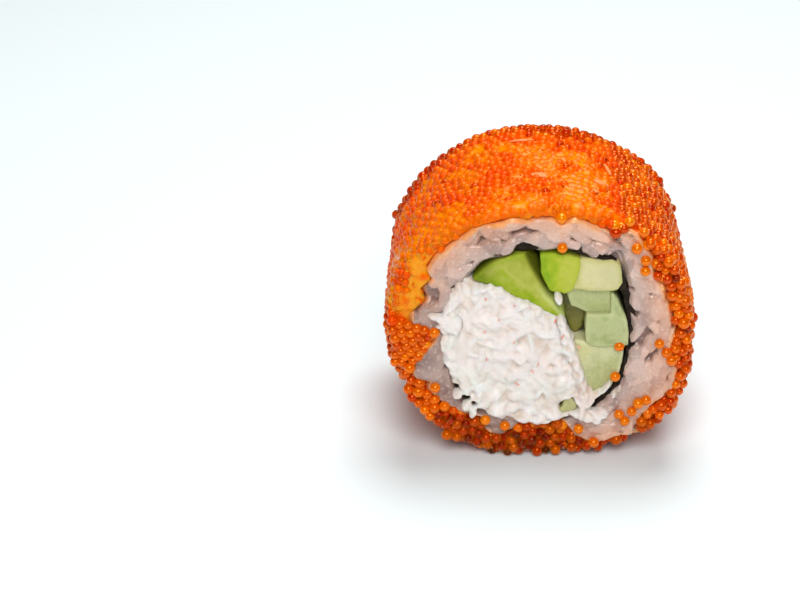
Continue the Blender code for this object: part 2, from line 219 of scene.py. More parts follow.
# One mesh that holds a bead at each place, turned and sized. tones has a value for each bead
def beads(name, subdivisions, places, turns, sizes, tones=None):
    pattern = added("pattern", bpy.ops.mesh.primitive_ico_sphere_add, subdivisions=subdivisions, radius=mm)
    shape = readPlaces(pattern)
    faces = np.array([list(face.vertices) for face in pattern.data.polygons])
    bpy.data.objects.remove(pattern)
    places, turns, sizes = np.array(places), np.array(turns), np.array(sizes)
    points = np.einsum("nij,nvj->nvi", turns, sizes[:, None, :] * shape[None]) + places[:, None, :]
    steps = len(shape) * np.arange(len(places))
    allFaces = (faces[None] + steps[:, None, None]).reshape(-1, 3)
    mesh = bpy.data.meshes.new(name)
    mesh.from_pydata((points.reshape(-1, 3) * mm).tolist(), [], allFaces.tolist())
    mesh.shade_smooth()
    piece = newObject(name, mesh)
    if tones is not None:
        addMasks(piece, tone=np.repeat(tones, len(shape)))
    return piece


def joined(name, *pieces):
    selectOnly(pieces[0])
    for piece in pieces:
        piece.select_set(True)
    bpy.ops.object.join()
    pieces[0].name = pieces[0].data.name = name
    return pieces[0]


def copyOfNode(name, node):
    piece = newObject(name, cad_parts[node].data.copy())
    closeUp(piece)
    return piece


def surfaceOf(piece):
    places = [vertex.co / mm for vertex in piece.data.vertices]
    return BVHTree.FromPolygons(places, [list(face.vertices) for face in piece.data.polygons])


def reachedFrom(surface, x, z, side):  # y where the surface is met from the front (-1) or from the back (1)
    hit = surface.ray_cast(Vector((x, side * 40.0, z)), Vector((0.0, -side, 0.0)))[0]
    return None if hit is None else hit.y


def randomTurn(draw):
    axis = Vector([draw.gauss(0, 1) for _ in range(3)]).normalized()
    return np.array(Matrix.Rotation(draw.uniform(0, 6.283), 3, axis))


# A turn that lays a long piece's X in the cut face at an angle, then lifts its end out of the face
def laidTurn(angle, lift, spin):
    return np.array(
        Matrix.Rotation(-angle, 3, "Y") @ Matrix.Rotation(lift, 3, "Z") @ Matrix.Rotation(spin, 3, "X")
    )


# Materials

def shaderOf(look):
    return look.node_tree.nodes["Principled BSDF"].inputs


# glow is how much light comes back out of the food, how far red, green and blue get in it, and its scale, mm
def newMaterial(name, colour, glow=None, **values):
    look = bpy.data.materials.new(name)
    look.use_nodes = True
    sockets = shaderOf(look)
    sockets["Base Color"].default_value = (*colour, 1.0)
    for key, value in values.items():
        sockets[key.replace("_", " ")].default_value = value
    if glow:
        sockets["Subsurface Weight"].default_value = glow[0]
        sockets["Subsurface Radius"].default_value = glow[1]
        sockets["Subsurface Scale"].default_value = glow[2] * mm
    return look


# A node whose sockets are joined to other sockets or set, in their order. None leaves one as it is
def addNode(tree, kind, *values, **options):
    node = tree.nodes.new("ShaderNode" + kind)
    for name, value in options.items():
        setattr(node, name, value)
    for socket, value in zip(node.inputs, values):
        if isinstance(value, bpy.types.NodeSocket):
            tree.links.new(value, socket)
        elif value is not None:
            socket.default_value = value
    return node


def addMath(tree, operation, *values):
    return addNode(tree, "Math", *values, operation=operation).outputs[0]


grainy = {"cloudDetail": 4.0, "reliefDetail": 6.0, "reliefFiner": 3.7, "softest": 0.28}


# Cloudy mask and fine relief, used by all the food. Level is how bright the noise is where the mask sets in
def mottleGroup():
    tree = bpy.data.node_groups.new("mottle", "ShaderNodeTree")
    for name, value in (("Size", 600.0), ("Sharpness", 0.5), ("Level", 0.5), ("Stretch", 1.0), ("Seed", 0.0)):
        socket = tree.interface.new_socket(name=name, in_out="INPUT", socket_type="NodeSocketFloat")
        socket.default_value = value
    for name in ("Mask", "Relief"):
        tree.interface.new_socket(name=name, in_out="OUTPUT", socket_type="NodeSocketFloat")
    start, end = tree.nodes.new("NodeGroupInput").outputs, tree.nodes.new("NodeGroupOutput").inputs
    place = addNode(tree, "TexCoord").outputs["Object"]
    stretch = addNode(tree, "CombineXYZ", 1.0, start["Stretch"], 1.0).outputs[0]
    stretched = addNode(tree, "VectorMath", place, stretch, operation="MULTIPLY").outputs[0]
    shifted = addNode(tree, "VectorMath", stretched, start["Seed"]).outputs[0]
    softness = addMath(tree, "SUBTRACT", 1.0, start["Sharpness"])
    spread = addMath(tree, "MULTIPLY", softness, grainy["softest"])
    low = addMath(tree, "SUBTRACT", start["Level"], spread)
    high = addMath(tree, "ADD", start["Level"], spread)
    cloud = addNode(tree, "TexNoise", shifted, None, start["Size"], grainy["cloudDetail"]).outputs["Fac"]
    tree.links.new(addNode(tree, "MapRange", cloud, low, high).outputs[0], end["Mask"])
    finer = addMath(tree, "MULTIPLY", start["Size"], grainy["reliefFiner"])
    relief = addNode(tree, "TexNoise", shifted, None, finer, grainy["reliefDetail"]).outputs["Fac"]
    tree.links.new(relief, end["Relief"])
    return tree


mottle = mottleGroup()


def addMottle(look, **values):
    node = addNode(look.node_tree, "Group", node_tree=mottle)
    for name, value in values.items():
        node.inputs[name].default_value = value
    return node.outputs


def readMask(look, name):
    return addNode(look.node_tree, "Attribute", attribute_name=name).outputs["Fac"]


def mixColours(look, mask, first, second):
    mix = addNode(look.node_tree, "Mix", data_type="RGBA")
    look.node_tree.links.new(mask, mix.inputs["Factor"])
    for socket, colour in ((mix.inputs["A"], first), (mix.inputs["B"], second)):
        if isinstance(colour, tuple):
            socket.default_value = (*colour, 1.0)
        else:
            look.node_tree.links.new(colour, socket)
    return mix.outputs["Result"]


# Paints a material with a colour and layers over it. Each is a mask or its name, its share and its colour
def paint(look, colour, *layers):
    for mask, share, over in layers:
        if isinstance(mask, str):
            mask = readMask(look, mask)
        colour = mixColours(look, addMath(look.node_tree, "MULTIPLY", mask, share), colour, over)
    look.node_tree.links.new(colour, shaderOf(look)["Base Color"])


def addBump(look, height, strength, depth):
    bump = addNode(look.node_tree, "Bump")
    bump.inputs["Strength"].default_value = strength
    bump.inputs["Distance"].default_value = depth * mm
    look.node_tree.links.new(height, bump.inputs["Height"])
    look.node_tree.links.new(bump.outputs["Normal"], shaderOf(look)["Normal"])


# The roe

roe = {
    "diameter": 1.6,
    "diameterSpread": 0.09,
    "packing": 0.94,  # from one egg to the next, as a share of the diameter
    "sunk": (-0.12, 0.22),  # how far an egg lies below the skin, mm
    "relaxing": 15,
    "gaps": 0.05,  # share of the top layer that lies deeper
    "proud": 0.02,  # share that lies loose on top of the layer
    "faceLayers": (-0.05, 0.75),  # behind the cut face, mm
    "faceTries": 1300,
    "rounding": 1.8,  # radius of the coat's edges, mm
    "wander": 0.3,  # how much the coat's skin swells, mm
    "wanderLength": 9.0,
    "grid": (450, 140),  # of the gel's skin
    "gelBelowTips": 1.1,
    "gelRise": 0.74,
    "gelBlend": 0.06,  # how softly gel meets an egg, mm
    "eggMiddle": 0.85,  # below the skin
    "eggBare": 0.24,  # how far an egg stands out where gel is scarce, mm
    "eggFilmed": 0.28,  # how much of that much gel takes away
    "gelTurns": ((42.0, 75.0), (162.0, 180.0)),  # degrees over which much gel sets in and ends
    "gelNear": (-12.0, 4.0),  # y over which it gets less towards the rear
    "gelRear": (9.0, 13.0),
    "gelWall": 13.0,  # how far its wall on the rice runs to the front and the rear
    "gelLowest": 0.35,  # over the ground
    "paintedShineTurns": ((120.0, 150.0), (168.0, 180.0)),  # where its front edge is painted brighter, a painted highlight
    "paintedShineFront": (-14.6, -12.5),
    "littleGel": 0.36,
    "low": (3.0, 9.0),  # z over which eggs stop being low
    "front": (-12.0, -6.0),
    "rear": (8.0, 13.0),
    "littleLow": 0.3,
    "glassyLow": 0.36,  # share of clear eggs at the bottom of the front, and at the rear rim
    "glassyRear": 0.3,
    "glassyElsewhere": 0.05,
    "seed": 5,
}

# Eggs that lie alone on the front: x, z
singleEggs = (
    (15.6, 34.1), (15.6, 32.4), (17.2, 33.2), (14.2, 36.1), (15.7, 36.3), (18.3, 19.9), (19.4, 18.5),
    (20.2, 17.4), (16.7, 10.2), (15.5, 9.7), (14.6, 8.2), (12.7, 7.5), (13.6, 6.4), (17.1, 7.5), (3.0, 40.6),
    (15.2, 38.4), (10.8, 39.5), (11.8, 39.2), (3.2, 36.1), (13.0, 40.1), (12.3, 19.2), (11.9, 13.9),
    (-4.7, 5.3), (-2.6, 4.7), (-0.3, 5.5), (4.1, 5.2), (6.6, 4.9), (-16.3, 20.8), (-16.8, 19.3), (-7.7, 6.5),
    (18.4, 31.0), (-15.6, 21.6), (-17.6, 18.0), (9.0, 2.6), (-11.5, 6.9), (-15.4, 12.2),
)

# Bits of rice that show through the coat: x, y, half length, half width, angle across the top
riceFlecks = (
    (0.1, -4.1, 1.4, 0.75, -0.1), (9.2, -4.4, 1.2, 0.7, 0.1), (8.2, -7.9, 0.8, 0.5, 0.6),
    (-2.4, 8.4, 2.0, 0.35, -0.1), (10.6, 1.4, 1.6, 0.3, -1.2),
)


def coatSkin(angles, ways):  # ways run from 0 at the front inner edge, over the outside, to 1 at the rear one
    inner, outer = ovalPlaces(roll["rice"], angles, 0.3), coatPlaces(angles)
    edge = edgePlaces(riceEdge, roll["rice"], angles)
    reachesIn = (ways <= 0.5) & (ovalShare(roll["rice"], *edge.T) < 1.0)
    inner = np.where(reachesIn[:, None], edge, inner)
    reach = outer - inner
    thickness = np.linalg.norm(reach, axis=-1)
    outward = reach / thickness[:, None]
    radius = np.minimum(roe["rounding"], 0.8 * thickness)
    face, arc = thickness - radius, 0.5 * np.pi * radius
    run = np.where(ways > 0.5, 1.0 - ways, ways) * 2.0 * (face + arc + half - radius)
    turn = np.clip((run - face) / radius, 0.0, 0.5 * np.pi)
    out = np.where(run < face, run, face + radius * np.sin(turn))
    y = radius * (1.0 - np.cos(turn)) + np.maximum(run - face - arc, 0.0) - half
    back = np.where(ways > 0.5, -1.0, 1.0)
    spots = inner + outward * out[:, None]
    places = standing(spots, back * y)
    normals = standing(outward * np.sin(turn)[:, None], -back * np.cos(turn))
    rise = roe["wander"] * ripple(places, roe["wanderLength"])
    return places + normals * rise[:, None], normals


def gelShare(places):  # 1 where gel fills the room between the eggs
    top = band(turnOf(places), *roe["gelTurns"]) * (1.0 - 0.8 * smoothStep(*roe["gelRear"], places[:, 1]))
    near = 1.0 - smoothStep(*roe["gelNear"], places[:, 1])
    cloud = 0.5 + 1.1 * ripple(places, 4.0, 4.0)
    return np.clip(top * (0.38 + 0.2 * near + 0.45 * cloud) + 0.15 * cloud, 0.0, 1.0)


# The gel's skin and its tints. It climbs the eggs' sides, and much gel covers them with a film
def gelSkin(angles, ways, eggs, eggTree):
    places, normals = coatSkin(angles, ways)
    share = gelShare(places)
    depth = roe["gelBelowTips"] - roe["gelRise"] * share
    nearest = eggs[[eggTree.find(place)[1] for place in places - roe["eggMiddle"] * normals]]
    off = places - nearest[:, :3]
    below = np.einsum("ij,ij->i", off, normals)
    aside = np.sqrt(np.maximum(np.einsum("ij,ij->i", off, off) - below**2, 0.0)) / nearest[:, 3]
    overEgg = below - nearest[:, 3] * np.sqrt(np.clip(1.0 - aside**2, 0.0, 1.0))
    overEgg = overEgg + roe["eggBare"] - roe["eggFilmed"] * smoothStep(0.5, 0.92, share)
    overEgg = overEgg + 9.0 * (aside > 0.98)  # no egg there
    blend = roe["gelBlend"]
    depth = -blend * np.logaddexp(-depth / blend, -overEgg / blend)
    # Painted highlight: a brighter amber along the front edge, in patches
    rim = band(turnOf(places), *roe["paintedShineTurns"]) * (1.0 - smoothStep(*roe["paintedShineFront"], places[:, 1]))
    rim *= np.clip(0.8 + 1.6 * ripple(places, 1.3, 11.0), 0.0, 1.0)
    masks = {"yellow": smoothStep(0.45, 1.0, share), "overEgg": smoothStep(0.95, 0.5, aside), "rim": rim}
    return places - normals * depth[:, None], masks


def buildGel(eggs):
    eggTree, masks = treeOf(eggs[:, :3]), {}

    def placeOf(u, v):
        angles = 2.0 * np.pi * u
        places, tints = gelSkin(angles, np.clip(v / 0.9, 0.0, 1.0), eggs, eggTree)
        masks.update(tints)
        # From the rear edge back to the front one, along the rice
        hole = ovalPlaces(roll["rice"], angles, -0.3)
        ends = [gelSkin(angles, 0.0 * v + way, eggs, eggTree)[0] for way in (1.0, 0.0)]
        wall = [standing(hole, 0.0 * v + y) for y in (roe["gelWall"], -roe["gelWall"])]
        stops, marks = (ends[0], *wall, ends[1]), (0.9, 0.93, 0.97, 1.0)
        for start, goal, low, high in zip(stops, stops[1:], marks, marks[1:]):
            part = (v > low + 1e-4) & (v <= high + 1e-4)
            places[part] = (start + (goal - start) * ((v - low) / (high - low))[:, None])[part]
        places[:, 2] = np.maximum(places[:, 2], roe["gelLowest"])
        return narrowed(places)

    return wrappedGrid("roeGel", *roe["grid"], placeOf, masks)


# Spreads spots on a flat sheet until they lie evenly. The sheet may close round in its first direction
def spreadOut(spots, apart, rounds, around=None):
    for _ in range(rounds):
        whole = spots
        if around:
            margin = 2.0 * apart
            low, high = spots[spots[:, 0] < margin], spots[spots[:, 0] > around - margin]
            whole = np.concatenate([spots, low + [around, 0.0], high - [around, 0.0]])
        tree = treeOf([(x, z, 0.0) for x, z in whole])
        moves = np.zeros_like(spots)
        for number, (x, z) in enumerate(spots):
            for near, _, distance in tree.find_range((x, z, 0.0), apart):
                if distance > 1e-6:
                    push = 0.35 * (apart - distance) / distance
                    moves[number] += (push * (x - near.x), push * (z - near.y))
        spots = spots + moves
        if around:
            spots[:, 0] %= around
    return spots


def eggRadii(draw, count):
    return 0.5 * roe["diameter"] * np.clip(draw.normal(1.0, roe["diameterSpread"], count), 0.8, 1.22)


def coatEggs(draw):
    apart = roe["diameter"] * roe["packing"]
    angles = np.linspace(0.0, 2.0 * np.pi, 721)
    steps = np.linalg.norm(np.diff(coatPlaces(angles, -0.7), axis=0), axis=1)
    arc = np.concatenate([[0.0], np.cumsum(steps)])
    girth, along = arc[-1], 2.0 * half + 4.0
    count = int(girth * along / (0.866 * apart**2))  # as many as lie in a honeycomb
    flat = draw.uniform(0.0, 1.0, (count, 2)) * [girth, along]
    flat = spreadOut(flat, 1.1 * apart, roe["relaxing"], girth)
    flat = flat[(flat[:, 1] > 0.0) & (flat[:, 1] < along)]
    places, normals = coatSkin(np.interp(flat[:, 0], arc, angles), flat[:, 1] / along)
    radii = eggRadii(draw, len(flat))
    gel = gelShare(places)
    depth = draw.uniform(*roe["sunk"], len(flat))
    depth += np.where(draw.random(len(flat)) < roe["gaps"] * (1.0 - gel), 0.7, 0.0)
    depth -= np.where(draw.random(len(flat)) < roe["proud"] * (1.0 - gel), 0.6, 0.0)
    spots = places - normals * (radii + depth)[:, None]
    onFront = (spots[:, 1] < 1.6 - half) & insideEdge(riceEdge, spots[:, 0], spots[:, 2])
    onBack = (spots[:, 1] > half - 1.6) & (ovalShare(roll["rice"], spots[:, 0], spots[:, 2]) < 1.0)
    return np.column_stack([spots, radii])[~(onFront | onBack)]


# Roe that lies over the front face beside the rice, two layers deep
def faceEggs(draw):
    apart = roe["diameter"] * roe["packing"]
    coatEdge = coatPlaces(np.linspace(0.0, 2.0 * np.pi, 120, endpoint=False), -0.8)
    layers = []
    for back in roe["faceLayers"]:
        flat = draw.uniform(0.0, 1.0, (roe["faceTries"], 2)) * [52.0, 47.0] - [26.0, 2.0]
        flat = spreadOut(flat, 1.1 * apart, 12)
        x, z = flat.T
        free = ~insideEdge(riceEdge, x, z) & insideEdge(coatEdge, x, z)
        radii = eggRadii(draw, len(flat))
        spots = np.column_stack([x, back - half + draw.uniform(-0.25, 0.25, len(flat)), z, radii])
        free &= (ovalShare(roll["rice"], x, z) > 0.72) & (gelShare(spots[:, :3]) < 0.5)
        layers.append(spots[free])
    return np.concatenate(layers)


def layEggs(draw):
    coat, face = coatEggs(draw), faceEggs(draw)
    tree = treeOf(face[:, :3])
    # A coat egg that would run into one on the face is left out
    clear = [tree.find(spot[:3])[2] > 0.8 * roe["diameter"] for spot in coat]
    spots = np.concatenate([coat[clear], face])
    spots[:, 2] = np.maximum(spots[:, 2], spots[:, 3])
    print("eggs of roe:", len(spots))
    return spots


def buildRoe(draw, spots):
    gel = gelShare(spots[:, :3])
    low = 1.0 - smoothStep(*roe["low"], spots[:, 2])
    under = low * (1.0 - smoothStep(*roe["front"], spots[:, 1]))
    rear = smoothStep(*roe["rear"], spots[:, 1])
    share = roe["glassyElsewhere"] * (1.0 - gel) + roe["glassyLow"] * under + roe["glassyRear"] * rear
    glassy = draw.random(len(spots)) < share
    bare = gel <= roe["littleGel"]
    kinds = {
        "roeClear": glassy,
        "roeTop": ~glassy & ~bare,
        "roeSides": ~glassy & bare & (under <= roe["littleLow"]),
        "roeLow": ~glassy & bare & (under > roe["littleLow"]),
    }
    pieces = []
    for name, mask in kinds.items():
        some = spots[mask]
        turner = random.Random(7)
        turns = np.array([randomTurn(turner) for _ in some])
        sizes = some[:, 3:4] * draw.uniform(0.96, 1.04, (len(some), 3))
        film = gel[mask]
        tone = 0.5 + (0.9 - 0.4 * film) * ripple(some[:, :3], 3.0, 9.0) + draw.normal(0, 0.18, len(some))
        # Painted shade: darker and redder low down. Redder round the yellow gel
        tone = np.clip(tone + 0.3 * low[mask] + 0.5 * film * (0.85 - film) / 0.3, 0, 1)
        pieces.append(beads(name, 2, narrowed(some[:, :3]), turns, sizes, tone))
    return pieces


# Loose eggs, seated on whatever lies behind them
def buildSingles(surfaces):
    draw = random.Random(11)
    spots, turns, sizes = [], [], []
    for x, z in singleEggs:
        met = [reachedFrom(surface, x, z, -1) for surface in surfaces]
        radius = 0.5 * roe["diameter"] * draw.uniform(0.95, 1.08)
        spots.append((x, min([y for y in met if y is not None] + [-half + 0.6]) - 0.45 * radius, z))
        turns.append(randomTurn(draw))
        sizes.append((radius, radius, radius))
    return beads("roeSingles", 3, spots, turns, sizes, [draw.random() for _ in spots])


def buildFlecks(gelPiece):
    surface = surfaceOf(gelPiece)
    spots, turns = [], []
    for x, y, _, _, angle in riceFlecks:
        met = surface.ray_cast(Vector((x, y, 60.0)), Vector((0.0, 0.0, -1.0)))[0]
        normal = Vector((met.x, 0.0, met.z - roll["middle"])).normalized()
        spots.append(met + 0.15 * normal)
        along = Vector((math.cos(angle), math.sin(angle), 0.0))
        along = (along - along.dot(normal) * normal).normalized()
        turns.append(np.column_stack([along, normal.cross(along), normal]))
    piece = beads("riceFlecks", 3, spots, turns, [(long, wide, 0.2) for _, _, long, wide, _ in riceFlecks])
    places = readPlaces(piece)
    places += 0.15 * ripples(places, 1.2)
    writePlaces(piece, places)
    return piece


# Light and deep colour, tint of the shine, sheen, roughness, IOR, glow, metallic, transmission.
# Sheen gives the eggs the bright rim that light makes on its way through their skin
roeFinishes = {
    "roeTop": ((1.0, 0.20, 0.0), (0.84, 0.065, 0.0), (1.0, 0.5, 0.1), 0.1, 0.27, 1.36, 0.4, 0.06, 0.0),
    "roeSides": ((1.0, 0.19, 0.0), (0.60, 0.025, 0.0), (1.0, 0.5, 0.12), 0.9, 0.12, 1.58, 0.3, 0.12, 0.0),
    "roeLow": ((1.0, 0.25, 0.0), (0.68, 0.04, 0.0), (1.0, 0.55, 0.15), 1.0, 0.1, 1.45, 0.3, 0.1, 0.35),
    "roeClear": ((0.95, 0.50, 0.12), (0.72, 0.26, 0.03), (1.0, 0.8, 0.6), 1.0, 0.05, 1.34, 0.0, 0.0, 1.0),
    "roeSingles": ((1.0, 0.25, 0.0), (0.86, 0.14, 0.0), (1.0, 0.55, 0.2), 1.0, 0.12, 1.58, 0.3, 0.12, 0.0),
}


def roeMaterial(name):
    light, deep, tint, sheen, roughness, ior, glow, metallic, transmission = roeFinishes[name]
    look = newMaterial(
        name, light, (glow, (1.0, 0.3, 0.06), 0.7), Roughness=roughness, IOR=ior, Metallic=metallic,
        Specular_IOR_Level=1.0, Specular_Tint=(*tint, 1.0), Transmission_Weight=transmission,
        Sheen_Weight=sheen, Sheen_Tint=(1.0, 0.42, 0.01, 1.0), Sheen_Roughness=0.35,
    )
    paint(look, mixColours(look, readMask(look, "tone"), light, deep))
    return look


def gelMaterial():
    look = newMaterial(
        "gel", (1.0, 0.28, 0.0), (0.6, (1.0, 0.4, 0.08), 1.0),
        Roughness=0.27, Specular_IOR_Level=0.35, Specular_Tint=(1.0, 0.7, 0.3, 1.0),
    )
    cloud = addMottle(look, Size=350.0, Sharpness=0.2)
    paint(
        look,
        mixColours(look, cloud["Mask"], (0.88, 0.07, 0.0), (0.98, 0.14, 0.0)),
        ("yellow", 1.0, (1.0, 0.26, 0.0)),
        ("overEgg", 0.75, (0.96, 0.11, 0.0)),
        # painted highlight along the front edge
        ("rim", 0.75, (1.0, 0.42, 0.02)),
    )
    addBump(look, cloud["Relief"], 0.4, 0.3)
    return look


# The rice

rice = {
    "apart": 1.65,  # mm from one grain to the next on a cut face
    "grainLong": (1.4, 2.8),  # half lengths in the cut, mm
    "grainWide": (0.85, 1.3),
    "crown": 1.2,
    "levels": (-0.65, 0.15),
    "tilt": 0.09,
    "turning": 0.75,  # spread of their directions, radians
    "cutLevel": 0.68,  # where the knife has cut them
    "cutSoftness": 0.11,
    "underGrains": -0.7,
    "grid": (430, 70),
    "face": 14.55,  # y from which it is face
    "sinkIn": 0.9,  # how far the face drops to the seaweed and to the roe, mm
    "sinkOut": 1.6,
    "tries": 620,
    "seed": 21,
}

# Where the rice stops round the seaweed on the front face, as x, z
riceInside = np.array([
    (10.4, 9.7), (10.8, 10.7), (11.6, 11.7), (12.5, 12.5), (13.2, 13.5), (12.8, 14.5), (13.2, 15.7),
    (13.7, 17.0), (13.4, 19.0), (13.7, 20.2), (14.0, 21.7), (13.9, 23.4), (13.8, 24.9), (13.4, 26.6),
    (13.6, 27.5), (13.4, 29.0), (13.0, 30.9), (12.6, 32.3), (12.2, 33.4), (11.7, 34.9), (10.6, 35.6),
    (9.8, 35.5), (9.6, 33.7), (8.7, 33.4), (7.8, 33.9), (7.1, 34.4), (6.3, 34.8), (5.2, 35.2), (4.4, 35.4),
    (2.8, 35.5), (2.0, 35.3), (0.6, 35.0), (-0.7, 35.2), (-1.3, 35.9), (-2.5, 36.1), (-3.6, 35.8),
    (-4.0, 34.7), (-5.2, 34.1), (-6.4, 33.9), (-7.4, 33.7), (-8.6, 33.2), (-9.6, 31.9), (-10.7, 30.8),
    (-11.9, 29.2), (-12.4, 28.2), (-13.0, 26.2), (-13.6, 25.2), (-14.2, 22.6), (-13.4, 20.6), (-13.0, 18.9),
    (-13.2, 17.1), (-12.9, 15.6), (-12.7, 13.1), (-12.4, 11.9), (-12.1, 10.6), (-11.1, 9.4), (-10.0, 8.2),
    (-8.2, 7.7), (-6.5, 7.6), (-3.8, 7.0), (-1.2, 6.3), (1.7, 6.2), (4.0, 6.7), (6.2, 7.4), (8.4, 8.4),
])


def edgeReach(edge, middle, angles):  # how far an edge reaches from the middle, at each angle
    ends = np.roll(edge, -1, axis=0)
    dense = np.concatenate([edge + (ends - edge) * share for share in np.linspace(0, 0.96, 25)]) - middle
    at, far = np.arctan2(dense[:, 1], dense[:, 0]), np.hypot(dense[:, 0], dense[:, 1])
    slot = np.floor((at + np.pi) / (2 * np.pi) * 240).astype(int) % 240
    total, count = np.bincount(slot, far, 240), np.bincount(slot, minlength=240)
    marks = (np.arange(240) + 0.5) / 240 * 2 * np.pi - np.pi
    return np.interp(angles, marks[count > 0], (total / np.maximum(count, 1))[count > 0], period=2 * np.pi)


def edgePlaces(edge, oval, angles, least=0.0):
    middle = np.array(oval[:2])
    off = ovalPlaces(oval, angles) - middle
    far = np.hypot(off[:, 0], off[:, 1])
    wanted = edgeReach(edge, middle, np.arctan2(off[:, 1], off[:, 0]))
    return middle + off * np.maximum(wanted / far, least)[:, None]


def edgeGap(edge, oval, x, z):  # how far inside the edge a spot lies
    middle = np.array(oval[:2])
    across, up = x - middle[0], z - middle[1]
    return edgeReach(edge, middle, np.arctan2(up, across)) - np.hypot(across, up)


# Height, tone and nearness to the rim (0 to 1) of overlapping flat lumps that a knife has cut level.
# Each lump is x, z, half length, half width, angle, level, crown, tilt across x and z, tone
def lumpField(x, z, lumps, floor, cutLevel, soft):
    height, tone, rim = np.full(len(x), floor), np.full(len(x), 0.5), np.zeros(len(x))
    for atX, atZ, long, wide, angle, level, crown, tiltX, tiltZ, shade in lumps:
        near = np.flatnonzero((np.abs(x - atX) < long) & (np.abs(z - atZ) < long))
        dx, dz = x[near] - atX, z[near] - atZ
        along = (dx * math.cos(angle) + dz * math.sin(angle)) / long
        across = (dz * math.cos(angle) - dx * math.sin(angle)) / wide
        inside = np.abs(along) ** 2.1 + np.abs(across) ** 2.1
        dome = level + crown * np.sqrt(np.clip(1.0 - inside, 0.0, 1.0)) + tiltX * dx + tiltZ * dz
        flat = cutLevel + 0.4 * level + 0.5 * (tiltX * dx + tiltZ * dz)
        dome = flat - soft * np.logaddexp(0.0, (flat - dome) / soft)
        higher = (inside < 1.0) & (dome > height[near])
        height[near[higher]], tone[near[higher]], rim[near[higher]] = dome[higher], shade, inside[higher]
    return height, tone, rim


def makeLumps(draw, spots, longs, wides, turns, levels, crown, tilt):
    count = len(spots)
    return np.column_stack([
        spots, draw.uniform(*longs, count), draw.uniform(*wides, count), turns, draw.uniform(*levels, count),
        np.full(count, crown), draw.normal(0, tilt, count), draw.normal(0, tilt, count), draw.random(count),
    ])


def riceLumps(draw):
    spots = draw.uniform(0.0, 1.0, (rice["tries"], 2)) * [48.0, 45.0] - [24.0, 1.0]
    spots = spreadOut(spots, 1.15 * rice["apart"], 14)
    ring = (ovalShare(roll["seaweed"], *spots.T) > 0.93) & (ovalShare(roll["rice"], *spots.T) < 1.12)
    spots = spots[ring]
    turns = np.arctan2(spots[:, 1] - roll["seaweed"][1], spots[:, 0]) + 0.5 * np.pi  # most lie along the ring
    turns = turns + draw.normal(0, rice["turning"], len(spots))
    return makeLumps(
        draw, spots, rice["grainLong"], rice["grainWide"], turns, rice["levels"], rice["crown"], rice["tilt"]
    )


def buildRice(name, side):
    ring = np.linspace(0.0, 2.0 * np.pi, 240, endpoint=False)
    front = side < 0
    uneven = ripple(np.column_stack([8.0 * np.cos(ring), 0.0 * ring, 8.0 * np.sin(ring)]), 1.0)
    inside = riceInside if front else ovalPlaces(roll["seaweed"], ring, 0.1 + 0.5 * uneven)
    outside = riceEdge if front else ovalPlaces(roll["rice"], ring, 1.1 * uneven[::-1] - 0.1)

    def placeOf(u, v):
        angles = 2.0 * np.pi * u
        hidden, plain = ovalPlaces(roll["seaweed"], angles, 0.1), ovalPlaces(roll["rice"], angles)
        marks = [0.0, 0.03, 0.14, 0.8, 0.9, 0.96, 1.0]
        y = np.interp(v, marks, [2.0, 12.0, 14.6, 14.6, 12.6, 11.0, 2.0])
        flare = smoothStep(12.5, 14.4, y)[:, None]
        near = hidden + (edgePlaces(inside, roll["seaweed"], angles) - hidden) * flare
        far = plain + (edgePlaces(outside, roll["rice"], angles, 1.0) - plain) * flare
        spots = near + (far - near) * np.interp(v, marks, [0, 0, 0, 1, 1, 1, 0])[:, None]
        return standing(spots, side * y)

    piece = wrappedGrid(name, *rice["grid"], placeOf)
    draw = np.random.default_rng(rice["seed"] + side)
    places = readPlaces(piece)
    x, z = places[:, 0], places[:, 2]
    height, grain, rim = lumpField(
        x, z, riceLumps(draw), rice["underGrains"], rice["cutLevel"], rice["cutSoftness"]
    )
    # Painted shade: the rice is darker in the creases between the grains
    crease = smoothStep(0.25, -0.45, height)
    gapIn, gapOut = -edgeGap(inside, roll["seaweed"], x, z), edgeGap(outside, roll["rice"], x, z)
    sink = rice["sinkIn"] * (1.0 - smoothStep(-0.1, 0.75, gapIn))
    height -= sink + rice["sinkOut"] * (1.0 - smoothStep(-0.7, 0.5, gapOut))
    height += 0.10 * ripple(places, 0.7, 2.0) + 0.25 * ripple(places, 4.0, 5.0)
    onFace = np.abs(places[:, 1]) > rice["face"]
    places[onFace, 1] += side * height[onFace]
    writePlaces(piece, narrowed(places))
    lowLeft = -0.62 * (z - roll["middle"]) - 0.78 * x
    addMasks(
        piece,
        crease=crease,
        grain=grain,
        # painted highlight, lighter towards the edge of each grain
        rim=smoothStep(0.7, 0.98, rim),
        nearRoe=np.clip(gapIn / np.maximum(gapIn + gapOut, 0.01), 0, 1),
        amber=0.8 * smoothStep(0.9, -0.1, gapOut + 0.5 * ripple(places, 1.5, 3.0)),
        shaded=smoothStep(4.0, 14.0, lowLeft) * (x < 0.0),
    )
    return piece


